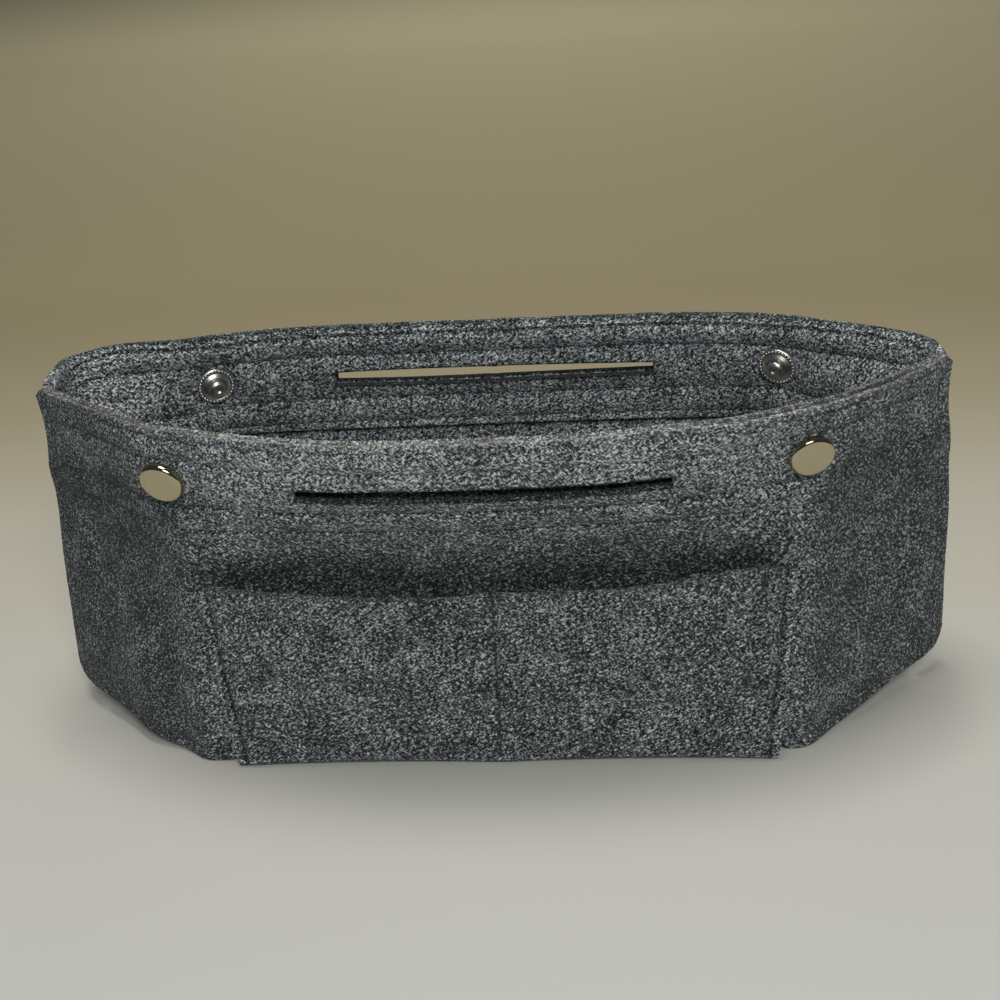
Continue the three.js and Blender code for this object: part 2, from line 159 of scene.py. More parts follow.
def plain_wall(side, u, z):
    wall = WALLS[side]
    far = clamp(abs(u) / SEAM_HALF_LENGTH, 0.0, 1.0)
    lens = 1.0 - far ** wall["fullness"][end_of(u)]
    flare = clamp(z / HEIGHT, 0.0, 1.0) ** wall["flare"]
    at_flange = smooth(abs(u), SEAM_HALF_LENGTH - FLANGE, SEAM_HALF_LENGTH)
    slant = lerp(1.0, math.hypot(1.0, FLANGE_LEAN), at_flange)
    sewn = smooth(abs(u), SEWN_FROM, SEAM_HALF_LENGTH)
    doubled = smooth(z, FACING_FOOT - lerp(STACK_TAPER, SEWN_TAPER, sewn), FACING_FOOT + SEWN_RISE * sewn)
    stack = slant * lerp(STACK_LOW, STACK_HIGH, doubled)
    foot = base_outline(u) * (BASE_HALF_DEPTH - STACK_LOW)
    rim = lens * (wall["reach"] - STACK_HIGH)
    drawn_in = wall["waist"] * (1.0 - far ** WAIST_FADE) * bell(z, WAIST_HEIGHT, WAIST_SPREAD)
    splay = wall["splay"] * (far * clamp(z / HEIGHT, 0.0, 1.0)) ** SPLAY_RISE
    lean = FLANGE_LEAN * max(abs(u) - SEAM_HALF_LENGTH, 0.0)
    depth = stack + lerp(foot, rim, flare) - drawn_in + splay
    return Vector((u * taper(z), wall["sign"] * depth + lean, z))


# The weight of a press stud turns the felt round it a little, towards the front and down
SNAP_TURN = 0.24
SNAP_NOD = {"left": 0.15, "right": 0.08}
SNAP_DIMPLE = 12.0
SNAP_CLAMP = (6.5, 12.0)


def from_snap(side, u, z):
    return abs(u) - SNAP_FROM_MIDDLE[side], z - (HEIGHT - SNAP_BELOW_RIM)


def turned_by_snap(side, u, z):
    if side == "rear":
        return 0.0
    along, rise = from_snap(side, u, z)
    fade = math.exp(-(along ** 2 + rise ** 2) / SNAP_DIMPLE ** 2)
    return (SNAP_TURN * along + SNAP_NOD[end_of(u)] * rise) * fade


# A press stud clamps the felt flat under it: nothing there, 1 well away from it
def loose_from_snap(side, u, z):
    return smooth(math.hypot(*from_snap(side, u, z)), *SNAP_CLAMP)


# How the front rim hangs in use: it leans out in the middle, and most towards the right
MIDDLE_HANG = 2.6
MIDDLE_HANG_AT = 4.0
MIDDLE_HANG_SPREAD = 58.0
MIDDLE_HANG_RISE = (68.0, 100.0)
RIGHT_HANG = 6.0
RIGHT_HANG_STARTS = (42.0, 78.0)
RIGHT_HANG_STOPS = (112.0, 132.0)
RIGHT_HANG_FOOT = 90.0

# How the rear rim rounds each end: it reaches out and bows back, then turns in and ahead over the end
REAR_CURL = (72.0, 107.0)
REAR_ENDS = {
    "left": {
        "out": 6.0, "out_run": (95.0, 120.0), "back": 8.5, "back_run": (95.0, 122.0),
        "turn_run": (126.0, 144.0), "turn_in": 4.0, "turn_ahead": 8.5, "curl_ahead": 8.0,
    },
    "right": {
        "out": 5.0, "out_run": (100.0, 124.0), "back": -1.0, "back_run": (96.0, 104.0),
        "turn_run": (124.0, 146.0), "turn_in": 4.5, "turn_ahead": 0.0, "curl_ahead": 9.5,
    },
}


def front_hang(u, z):
    across = math.exp(-(((u - MIDDLE_HANG_AT) / MIDDLE_HANG_SPREAD) ** 4))
    middle = MIDDLE_HANG * across * smooth(z, *MIDDLE_HANG_RISE)
    right = RIGHT_HANG * smooth(u, *RIGHT_HANG_STARTS) * (1.0 - smooth(u, *RIGHT_HANG_STOPS))
    rise = clamp((z - RIGHT_HANG_FOOT) / (HEIGHT - RIGHT_HANG_FOOT), 0.0, 1.0)
    return Vector((0.0, -middle - right * rise ** 2, 0.0))


def rear_hang(u, z):
    end, far = REAR_ENDS[end_of(u)], abs(u)
    curl = smooth(z, *REAR_CURL)
    turn = 2.0 * smooth(far, *end["turn_run"])
    out = end["out"] * smooth(far, *end["out_run"]) - end["turn_in"] * turn
    back = end["back"] * smooth(far, *end["back_run"]) - (end["turn_ahead"] + end["curl_ahead"] * curl) * turn
    upright = FLANGE_LEAN * max(far - SEAM_HALF_LENGTH, 0.0)
    return Vector((-out if u < 0 else out, back - upright, 0.0)) * curl


# The sewn ends stand ahead of the middle plane at the foot, more at the left, and their tips come back again
FOOT_AHEAD = {
    "left": {"most": 8.5, "run": (92.0, 112.0), "tip_back": 0.45},
    "right": {"most": 3.8, "run": (96.0, 116.0), "tip_back": 0.85},
}
FOOT_TIP = (128.0, 142.0)
FOOT_AHEAD_FADES = (12.0, 72.0)
REAR_FOOT_JOINS = (114.0, SEAM_HALF_LENGTH)

# They also reach out, most at the foot and a little more halfway up
FOOT_OUT = 2.4
FOOT_OUT_RUN = (SEWN_FROM, 140.0)
FOOT_OUT_FADES = (30.0, 95.0)
MIDWAY_OUT = 1.7
MIDWAY_OUT_RUN = (SEWN_FROM, FOOT_HALF_LENGTH)
MIDWAY_OUT_STARTS = (28.0, 60.0)
MIDWAY_OUT_STOPS = (76.0, 98.0)


def foot_set(side, u, z):
    end, far = FOOT_AHEAD[end_of(u)], abs(u)
    ahead = end["most"] * smooth(far, *end["run"]) * (1.0 - end["tip_back"] * smooth(far, *FOOT_TIP))
    ahead *= 1.0 - smooth(z, *FOOT_AHEAD_FADES)
    if side == "rear":
        ahead *= smooth(far, *REAR_FOOT_JOINS)
    out = FOOT_OUT * smooth(far, *FOOT_OUT_RUN) * (1.0 - smooth(z, *FOOT_OUT_FADES))
    midway = smooth(z, *MIDWAY_OUT_STARTS) * (1.0 - smooth(z, *MIDWAY_OUT_STOPS))
    out += MIDWAY_OUT * smooth(far, *MIDWAY_OUT_RUN) * midway
    return Vector((math.copysign(out, u), -ahead, 0.0))


# The wall as it hangs in use, tucked in behind the pockets
def tucked_wall(side, u, z):
    hang = front_hang(u, z) if side == "front" else rear_hang(u, z)
    point = plain_wall(side, u, z) + hang + foot_set(side, u, z)
    fade = bell(z, WALL_TUCK_HEIGHT, WALL_TUCK_SPREAD)
    moved = turned_by_snap(side, u, z) - WALL_TUCK * pocket_bell(point.x) * fade
    point.y += WALLS[side]["sign"] * moved
    return point


NEARBY = 0.5


def outward(surface, side, u, z):
    along = surface(side, u + NEARBY, z) - surface(side, u - NEARBY, z)
    upward = surface(side, u, z + NEARBY) - surface(side, u, z - NEARBY)
    return along.cross(upward).normalized() * -WALLS[side]["sign"]


def off_wall(surface, side, u, z, distance):
    return surface(side, u, z) + outward(surface, side, u, z) * distance


def corner_drop(u, radius):
    into = abs(u) - (FOOT_HALF_LENGTH - radius)
    return radius - math.sqrt(max(radius ** 2 - into ** 2, 0.0)) if into > 0 else 0.0


def chamfer_height(u):
    share = clamp((abs(u) - BASE_HALF_LENGTH) / (FOOT_HALF_LENGTH - BASE_HALF_LENGTH), 0.0, 1.0)
    return lerp(PANEL_FOOT, FOOT_HEIGHT, share)


# The strip is cut a little wider towards its mouths: half its width at the foot and at the mouth
STRIP_HALF = {"left": (78.0, 84.5), "right": (80.5, 85.0)}

# Beyond the ends of the pocket strip the wall's foot sinks to the ground
FOOT_SAG = 1.9
FOOT_SAG_STARTS = (0.3, 3.0)
FOOT_SAG_STOPS = (98.0, 116.0)


def foot_sag(u):
    strip = STRIP_HALF[end_of(u)][0]
    starts = smooth(abs(u), *(strip + past for past in FOOT_SAG_STARTS))
    return FOOT_SAG * starts * (1.0 - smooth(abs(u), *FOOT_SAG_STOPS))


# Felt never lies quite flat: slow waves, a little unevenness of the felting, and the folds it was sold with,
# each given as its place along the wall and its depth
WAVE_HEIGHT, WAVE_LENGTH, WAVE_RISE = 0.3, 31.0, 24.0
LUMP_HEIGHT, LUMP_LENGTH, LUMP_RISE = 0.1, 7.0, 6.0
WAVE_SEED = {"front": 3.0, "rear": 47.0}
LUMP_SEED = {"front": 12.0, "rear": 56.0}
FOLDS = {
    "front": [(-28.0, 0.35), (11.0, 0.2), (-68.0, 0.22)],
    "rear": [(0.5, 0.4), (-64.0, 0.25), (58.0, 0.2)],
}
FOLD_WIDTH = 1.3
FOLD_RISE = (40.0, 70.0)


def waviness(side, u, z):
    slow = noise.noise(Vector((u / WAVE_LENGTH, z / WAVE_RISE, WAVE_SEED[side])))
    lumps = noise.noise(Vector((u / LUMP_LENGTH, z / LUMP_RISE, LUMP_SEED[side])))
    folds = sum(-depth * bell(u, at, FOLD_WIDTH) for at, depth in FOLDS[side])
    return WAVE_HEIGHT * slow + LUMP_HEIGHT * lumps + folds * smooth(z, *FOLD_RISE)


# How far the facing swells between two stitched lines
def swell(z):
    below = HEIGHT - z
    edges = [0.0, *STITCHES_BELOW_RIM.values(), FACING_DEPTH]
    for upper, lower in zip(edges, edges[1:]):
        if upper <= below <= lower:
            share = (below - upper) / (lower - upper)
            return min(SWELL_SHARE * (lower - upper), SWELL_MOST) * 4.0 * share * (1.0 - share)
    return 0.0


# How far sewing holds the felt in at a height: deep on a stitched line, nothing halfway between two
def drawn_by_rim_lines(z):
    nearest = min(abs(HEIGHT - below - z) for below in STITCHES_BELOW_RIM.values())
    return STITCH_DRAW * math.exp(-nearest / STITCH_DRAW_WIDTH)


SEAM_DRAW, SEAM_DRAW_WIDTH = 0.3, 1.2
CHAMFER_DRAW, CHAMFER_DRAW_WIDTH, CHAMFER_LEAD = 0.4, 1.4, 4.0


def drawn_by_side_seam(u):
    return SEAM_DRAW * bell(abs(u), SEAM_STITCH, SEAM_DRAW_WIDTH)


def drawn_by_chamfer(u, z):
    start = BASE_HALF_LENGTH - CHAMFER_LEAD
    if abs(u) < start:
        return 0.0
    rise = z - chamfer_height(u) - FELT - LAYER_GAP
    return CHAMFER_DRAW * bell(rise, 0.0, CHAMFER_DRAW_WIDTH) * smooth(abs(u), start, BASE_HALF_LENGTH)


# Meshes

def spread(stations, counts):
    places = [stations[0]]
    for low, high, count in zip(stations, stations[1:], counts):
        places += [lerp(low, high, (step + 1) / count) for step in range(count)]
    return places


def put_in_scene(name, bm, material, slot, body=LINER):
    bmesh.ops.transform(bm, matrix=Matrix.Scale(MM, 4), verts=bm.verts)
    mesh = bpy.data.meshes.new(name)
    bm.to_mesh(mesh)
    bm.free()
    for face in mesh.polygons:
        face.use_smooth = True
    mesh.materials.append(material)
    piece = bpy.data.objects.new(name, mesh)
    bpy.context.scene.collection.objects.link(piece)
    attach(piece, body)
    return piece


# Gives a felt sheet its thickness about its middle surface, with the cut edges a little rounded
CUT_EDGE_ROUND = 0.45


def thicken(piece, pressed=None):
    felt = piece.modifiers.new("felt thickness", "SOLIDIFY")
    felt.thickness = FELT * MM
    if pressed:
        felt.vertex_group = piece.vertex_groups.new(name=pressed).name
    felt.offset = 0.0
    edge = piece.modifiers.new("cut edge", "BEVEL")
    edge.width = CUT_EDGE_ROUND * MM
    edge.segments = 2
    edge.limit_method = "ANGLE"
    edge.angle_limit = math.radians(50)
    return piece


# Shares and planes for squashing the layers flat when the studs are fastened: both walls nearly flat on either
# side of the middle plane, and the strip round them. The sewing is handed them, but nothing in this script
# squashes the felt.
CLOSED_KEEP = 0.0942
STRIP_KEEP = 0.225
OUTER_SEWING_ANCHOR = 4.4
INNER_SEWING_ANCHOR = -0.1


def flattens(piece):
    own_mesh(piece)


# Columns of a wall's mesh: in each flange, from the flange to the slot, and along the slot
FLANGE_COLUMNS, SIDE_COLUMNS, SLOT_SPAN = 6, 64, 80
COLUMNS = spread(
    [
        -FOOT_HALF_LENGTH, -SEAM_HALF_LENGTH, -SLOT_LENGTH / 2,
        SLOT_LENGTH / 2, SEAM_HALF_LENGTH, FOOT_HALF_LENGTH,
    ],
    [FLANGE_COLUMNS, SIDE_COLUMNS, SLOT_SPAN, SIDE_COLUMNS, FLANGE_COLUMNS],
)
SLOT_COLUMNS = (FLANGE_COLUMNS + SIDE_COLUMNS, FLANGE_COLUMNS + SIDE_COLUMNS + SLOT_SPAN)

# The lips of a slot part a little, more towards the left: evenly, and bowed in the middle
SLOT_PARTED = {"front": (0.1, 0.45), "rear": (0.35, 0.5)}
SLOT_PARTED_LEFT = 0.4


def slot_edges(side, u):
    share = clamp(2.0 * u / SLOT_LENGTH, -1.0, 1.0)
    even, bowed = SLOT_PARTED[side]
    parted = (even + bowed * (1.0 - share ** 2)) * (1.0 - SLOT_PARTED_LEFT * share)
    middle, half = HEIGHT - SLOT_BELOW_RIM, SLOT_WIDTH / 2 + parted
    return middle - half, middle + half


# The cut rim is a little uneven
RIM_CORNER = {"front": 2.0, "rear": 6.0}
RIM_UNEVEN, RIM_UNEVEN_LENGTH = 0.22, 11.0
RIM_SEED = {"front": 5.0, "rear": 71.0}


def rim_height(side, u):
    uneven = RIM_UNEVEN * noise.noise(Vector((u / RIM_UNEVEN_LENGTH, RIM_SEED[side], 0.0)))
    return HEIGHT - corner_drop(u, RIM_CORNER[side]) + uneven


# Rows of the doubled part of a wall, close together where a stitched line pinches it
LINE_HEIGHTS = sorted(HEIGHT - below for below in STITCHES_BELOW_RIM.values())
PINCH = 0.35
DOUBLED_COUNTS = [1, 1, 10, 1, 1, 7, 3, 7, 1, 1, 8, 1, 1, 3]
SLOT_ROW = 6


def doubled_rows(side, u):
    low, high = slot_edges(side, u)
    pinched = [line + step for line in LINE_HEIGHTS for step in (-PINCH, 0.0, PINCH)]
    squeeze = (HEIGHT - corner_drop(u, RIM_CORNER[side]) - high) / (HEIGHT - high)
    upper = [high + (z - high) * squeeze for z in pinched[6:]]
    return [*pinched[:6], low, high, *upper, rim_height(side, u)]


# Stitched lines and the swell between them fade out towards the sewn ends
INLAND_FADES = (116.0, 128.0)


def inland(u):
    return 1.0 - smooth(abs(u), *INLAND_FADES)


# Painted light and shade in the felt's tone: the front wall's upper band is painted paler for the light it
# catches, and painted shade darkens it behind the pocket mouths, at its ends and in the grooves of its stitched
# lines and slot lips. The rear wall is painted a little paler all over, and is darker just under its rim. Tones
# are shares of the felt's whole range.
LINE_PAINTED_SHADE, LINE_PAINTED_SHADE_WIDTH, LINE_PAINTED_SHADE_STOPS = 0.4, 0.4, (126.0, 131.0)
SLOT_EDGE_PAINTED_SHADE, SLOT_EDGE_WIDTH, SLOT_END_PAST = 0.5, 0.35, 0.1
FRONT_GROOVE_SHADE_SHARE = 0.7
FRONT_PAINTED_LIGHT, FRONT_PAINTED_LIGHT_RISE = 0.1, (84.0, 98.0)
SHELTERED_PAINTED_SHADE, SHELTERED_HEIGHT, SHELTERED_SPREAD, SHELTERED_STOPS = 0.24, 57.0, 11.0, (74.0, 90.0)
END_PAINTED_SHADE, END_PAINTED_SHADE_RUN = {"left": 0.2, "right": 0.14}, (75.0, 105.0)
REAR_PAINTED_LIGHT = 0.07
REAR_RIM_DARK, REAR_RIM_DARK_BELOW = 0.24, (1.2, 0.2)


def painted_light_on_walls(side, u, z):
    nearest = min(abs(line - z) for line in LINE_HEIGHTS)
    # painted shade: dark lines in the grooves that the stitched lines pull in, and along the lips of the slot
    painted_groove_shade = LINE_PAINTED_SHADE * bell(nearest, 0.0, LINE_PAINTED_SHADE_WIDTH) * (1.0 - smooth(abs(u), *LINE_PAINTED_SHADE_STOPS))
    if abs(u) < SLOT_LENGTH / 2 + SLOT_END_PAST:
        painted_groove_shade += SLOT_EDGE_PAINTED_SHADE * max(bell(z, edge, SLOT_EDGE_WIDTH) for edge in slot_edges(side, u))
    if side == "rear":
        # painted light: the whole rear wall's tone is raised for the light it gets; it is also darker just under
        # its rim
        return REAR_PAINTED_LIGHT - painted_groove_shade - REAR_RIM_DARK * at_rim(z, REAR_RIM_DARK_BELOW)
    # painted shade: the recessed wall above the pocket mouths is darkened where shade falls
    sheltered = bell(z, SHELTERED_HEIGHT, SHELTERED_SPREAD) * (1.0 - smooth(abs(u), *SHELTERED_STOPS))
    # painted shade: both ends of the front wall are darkened for the dimmer light they get
    at_end = END_PAINTED_SHADE[end_of(u)] * smooth(abs(u), *END_PAINTED_SHADE_RUN)
    # painted light: the front wall's upper band is painted paler, standing in for the light it catches
    painted_light_band = FRONT_PAINTED_LIGHT * smooth(z, *FRONT_PAINTED_LIGHT_RISE)
    return painted_light_band - SHELTERED_PAINTED_SHADE * sheltered - at_end - FRONT_GROOVE_SHADE_SHARE * painted_groove_shade


# The rear facing is cut shorter towards its foot, so that its ends don't show past the panel's
FACING_SHORT = 2.6
FACING_SHORT_RUN = (118.0, FOOT_HALF_LENGTH)
FACING_SHORT_FADES = (80.0, 100.0)


def facing_end(u, z):
    short = FACING_SHORT * smooth(abs(u), *FACING_SHORT_RUN) * (1.0 - smooth(z, *FACING_SHORT_FADES))
    return u - math.copysign(short, u)


# The front rim is worn along its edge, and both rims are pressed thinner there
WORN_BELOW = (0.9, 0.25)
PRESSED_THINNER, PRESSED_BELOW = 0.45, (1.8, 0.3)


def at_rim(z, below):
    return smooth(z, *(HEIGHT - depth for depth in below))


# One felt layer of a wall, cut flat with its slot and then bent to the wall's shape
def wall_sheet(side, layer, stations_at, counts, middle_depth, draw):
    bm = bmesh.new()
    across, rows = len(COLUMNS) - 1, sum(counts)
    bmesh.ops.create_grid(bm, x_segments=across, y_segments=rows, size=1.0)
    worn = bm.verts.layers.float.new("worn")
    tone_and_painted_light = bm.verts.layers.float.new("tone_and_painted_light")
    pressed = bm.verts.layers.deform.verify()
    slot_rows = (rows - sum(DOUBLED_COUNTS[SLOT_ROW:]), rows - sum(DOUBLED_COUNTS[SLOT_ROW + 1:]))
    slot_faces = []
    for face in bm.faces:
        middle = (face.calc_center_median() + Vector((1.0, 1.0, 0.0))) / 2.0
        in_columns = SLOT_COLUMNS[0] < middle.x * across < SLOT_COLUMNS[1]
        if in_columns and slot_rows[0] < middle.y * rows < slot_rows[1]:
            slot_faces.append(face)
    bmesh.ops.delete(bm, geom=slot_faces, context="FACES")
    heights = {u: spread(stations_at(u), counts) for u in COLUMNS}
    for vert in bm.verts:
        u = COLUMNS[round((vert.co.x + 1.0) / 2.0 * across)]
        vert.co = (u, 0.0, heights[u][round((vert.co.y + 1.0) / 2.0 * rows)])
    for vert in bm.verts:
        u, z = vert.co.x, vert.co.z
        lift = waviness(side, u, z) - middle_depth + draw(u, z)
        vert[worn] = at_rim(z, WORN_BELOW) if side == "front" else 0.0
        vert[pressed][0] = 1.0 - PRESSED_THINNER * at_rim(z, PRESSED_BELOW)
        # painted light and shade go into the felt's tone through this vertex value
        vert[tone_and_painted_light] = painted_light_on_walls(side, u, z)
        cut = facing_end(u, z) if (side, layer) == ("rear", "facing") else u
        vert.co = off_wall(tucked_wall, side, cut, z, lift)
    if side == "rear":
        bmesh.ops.reverse_faces(bm, faces=bm.faces)
    return thicken(put_in_scene(f"{side}_{layer}_felt", bm, heather_felt, "felt"), "pressed at the rim")


# Rows of mesh up to the foot of the facing and from there to its stitched line, and how much of the swell and of
# the pocket lines reaches the panel
PANEL_ROWS, FACING_ROWS = 34, 4
PANEL_SWELL_SHARE = 0.5
PANEL_POCKET_SHARE = 0.8
RIM_LINES_REACH = 4.0


def panel_sheet(side):
    def stations(u):
        low = chamfer_height(u) + corner_drop(u, CORNER_RADIUS)
        return [low - foot_sag(u), FACING_FOOT, *doubled_rows(side, u)]

    def draw(u, z):
        rim = drawn_by_rim_lines(z) if z > FACING_FOOT - RIM_LINES_REACH else 0.0
        pocket = PANEL_POCKET_SHARE * drawn_by_pocket_lines(strip_place(u, z)) if z < POCKET_HEIGHT else 0.0
        stitched_in = inland(u) * (PANEL_SWELL_SHARE * swell(z) * loose_from_snap(side, u, z) - rim)
        return stitched_in - pocket - drawn_by_side_seam(u) - drawn_by_chamfer(u, z)

    piece = wall_sheet(side, "panel", stations, [PANEL_ROWS, FACING_ROWS, *DOUBLED_COUNTS], FELT / 2, draw)
    flattens(piece)
    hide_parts(f"{side}_panel")


# The facing closes against the panel at the rim
FACING_CLOSES, FACING_CLOSES_BELOW = 0.8, (2.0, 0.3)
FACING_SEAM_SHARE = 0.5


def facing_sheet(side):
    def stations(u):
        return [FACING_FOOT, *doubled_rows(side, u)]

    def draw(u, z):
        closed = FACING_CLOSES * at_rim(z, FACING_CLOSES_BELOW)
        swollen = swell(z) * loose_from_snap(side, u, z)
        stitched_in = inland(u) * (drawn_by_rim_lines(z) - swollen)
        return stitched_in + closed + FACING_SEAM_SHARE * drawn_by_side_seam(u)

    piece = wall_sheet(side, "facing", stations, [FACING_ROWS, *DOUBLED_COUNTS], RIM_STACK - FELT / 2, draw)
    flattens(piece)
    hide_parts(f"{side}_facing")


# Six-sided floor with pointed ends that rise along the chamfers, its edges sewn a little way into the walls
BASE_SEWN_IN = 0.8
BASE_TIP = 1.0
BASE_COLUMNS, BASE_ROWS = [16, 60, 16], 26
BASE_LIFT = 0.12
BASE_UNEVEN, BASE_UNEVEN_LENGTH, BASE_SEED = 0.12, 9.0, 21.0


def base_sheet():
    run = SEAM_HALF_LENGTH - BASE_HALF_LENGTH
    foot = BASE_HALF_DEPTH - STACK_LOW
    clear = (FELT + LAYER_GAP) * math.hypot(1.0, foot / run) - BASE_SEWN_IN
    tip = SEAM_HALF_LENGTH - run * ((BASE_TIP - STACK_LOW + clear) / foot)
    columns = spread([-tip, -BASE_HALF_LENGTH, BASE_HALF_LENGTH, tip], BASE_COLUMNS)
    bm = bmesh.new()
    bmesh.ops.create_grid(bm, x_segments=len(columns) - 1, y_segments=BASE_ROWS, size=1.0)
    for vert in bm.verts:
        x = columns[round((vert.co.x + 1.0) / 2.0 * (len(columns) - 1))]
        half_depth = STACK_LOW + base_outline(x) * foot - clear
        z = chamfer_height(x)
        ahead = foot_set("front", x, z).lerp(foot_set("rear", x, z), (vert.co.y + 1.0) / 2.0).y
        y = vert.co.y * half_depth + ahead
        uneven = noise.noise(Vector((x / BASE_UNEVEN_LENGTH, y / BASE_UNEVEN_LENGTH, BASE_SEED)))
        vert.co = (x, y, z + FELT / 2 + BASE_LIFT + BASE_UNEVEN * uneven)
    piece = thicken(put_in_scene("base_panel_felt", bm, heather_felt, "felt"))
    flattens(piece)
    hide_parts("base_panel")


# Strip up the front, under the floor and up the rear, sewn down in three lines so that it gapes as pockets
STRIP_ROUND = 1.8

# Each mouth rises between the sewn lines, given as how much, where and how widely. It dips near the middle
# and drops at its outer corners
MOUTH_RISE = {"left": (1.1, 55.0, 18.0), "right": (2.6, 60.0, 22.0)}
MOUTH_RISE_STOPS = 70.0
MOUTH_DIP, MOUTH_DIP_AT, MOUTH_DIP_SPREAD = 2.0, -6.0, 20.0
MOUTH_CORNER_DROP, MOUTH_CORNER = 0.7, 2.0

# The strip gapes a little on its middle line and hangs slack between the lines
MIDDLE_GAPE, MIDDLE_GAPE_SPREAD, MIDDLE_GAPE_DEPTH = 2.5, 14.0, 14.0
POCKET_SLACK, POCKET_SLACK_RISE = 0.9, (4.0, 16.0)


def strip_x(x, z):
    foot, mouth = STRIP_HALF[end_of(x)]
    return x / POCKET_HALF_LENGTH * lerp(foot, mouth, z / POCKET_HEIGHT)


# Place across the strip that lies over a place on the wall
def strip_place(u, z):
    foot, mouth = STRIP_HALF[end_of(u)]
    return u * taper(z) * POCKET_HALF_LENGTH / lerp(foot, mouth, z / POCKET_HEIGHT)


def mouth_height(x):
    dip = MOUTH_DIP * bell(x, MOUTH_DIP_AT, MOUTH_DIP_SPREAD)
    most, at, spreads = MOUTH_RISE[end_of(x)]
    rise = most * bell(abs(x), at, spreads) * (1.0 - smooth(abs(x), MOUTH_RISE_STOPS, POCKET_HALF_LENGTH))
    drop = MOUTH_CORNER_DROP * smooth(abs(x), POCKET_STITCH - MOUTH_CORNER, POCKET_HALF_LENGTH)
    return POCKET_HEIGHT + rise - dip - drop


def pocket_bulge(x, z):
    at_mouth = smooth(z, POCKET_HEIGHT - MIDDLE_GAPE_DEPTH, POCKET_HEIGHT)
    middle = MIDDLE_GAPE * bell(x, 0.0, MIDDLE_GAPE_SPREAD) * at_mouth
    slack = POCKET_SLACK * pocket_bell(x) * smooth(z, *POCKET_SLACK_RISE)
    return POCKET_BULGE * pocket_bell(x) * smooth(z, POCKET_BULGE_FOOT, POCKET_HEIGHT) + middle + slack


# The strip hangs loose where it turns under the floor, more towards the right
FOOT_SLACK = (1.2, 3.0)
FOOT_SLACK_STOPS = 18.0


def foot_slack(x):
    return lerp(*FOOT_SLACK, (x + POCKET_HALF_LENGTH) / (2.0 * POCKET_HALF_LENGTH))


def loose_foot(x, z):
    return foot_slack(x) * (1.0 - smooth(z, PANEL_FOOT + STRIP_ROUND, FOOT_SLACK_STOPS))


POCKET_LINES = {"left": -POCKET_STITCH, "middle": 0.0, "right": POCKET_STITCH}
POCKET_DRAW_WIDTH = 1.1
STRIP_UNEVEN, STRIP_UNEVEN_LENGTH, STRIP_UNEVEN_RISE = 0.16, 8.0, 7.0
STRIP_SEED = {"front": 13.0, "rear": 33.0}


def off_pocket_line(x):
    return min(abs(x - at) for at in POCKET_LINES.values())


def drawn_by_pocket_lines(x):
    return math.exp(-off_pocket_line(x) / POCKET_DRAW_WIDTH)


def strip_point(side, x, z):
    uneven = noise.noise(Vector((x / STRIP_UNEVEN_LENGTH, z / STRIP_UNEVEN_RISE, STRIP_SEED[side])))
    lift = LAYER_GAP + FELT / 2 + pocket_bulge(x, z) - drawn_by_pocket_lines(x)
    lift += STRIP_UNEVEN * uneven + loose_foot(x, z)
    return off_wall(plain_wall, side, strip_x(x, z) / taper(z), z, lift)


def strip_corner(side, x, turn):
    sign = WALLS[side]["sign"]
    bend = LAYER_GAP + FELT / 2
    loose = STRIP_ROUND * pocket_bell(x)
    reach = bend + loose
    middle = Vector((strip_x(x, 0.0), sign * (BASE_HALF_DEPTH + foot_slack(x) - loose), PANEL_FOOT + loose))
    return middle + Vector((0.0, sign * reach * math.cos(turn), -reach * math.sin(turn)))


# The cut mouth is a little uneven. Painted shade darkens the whole strip a little and the grooves of its sewn
# lines, and the felt is paler at its side edges
MOUTH_UNEVEN, MOUTH_UNEVEN_LENGTH = 0.25, 9.0
MOUTH_SEED = {"front": 91.0, "rear": 17.0}
STRIP_PAINTED_SHADE, STRIP_EDGE_PALE, STRIP_EDGE = -0.06, 0.1, 1.0
POCKET_LINE_PAINTED_SHADE, POCKET_LINE_PAINTED_SHADE_WIDTH = 0.45, 0.6
LINE_NEIGHBOURHOOD = 4.0


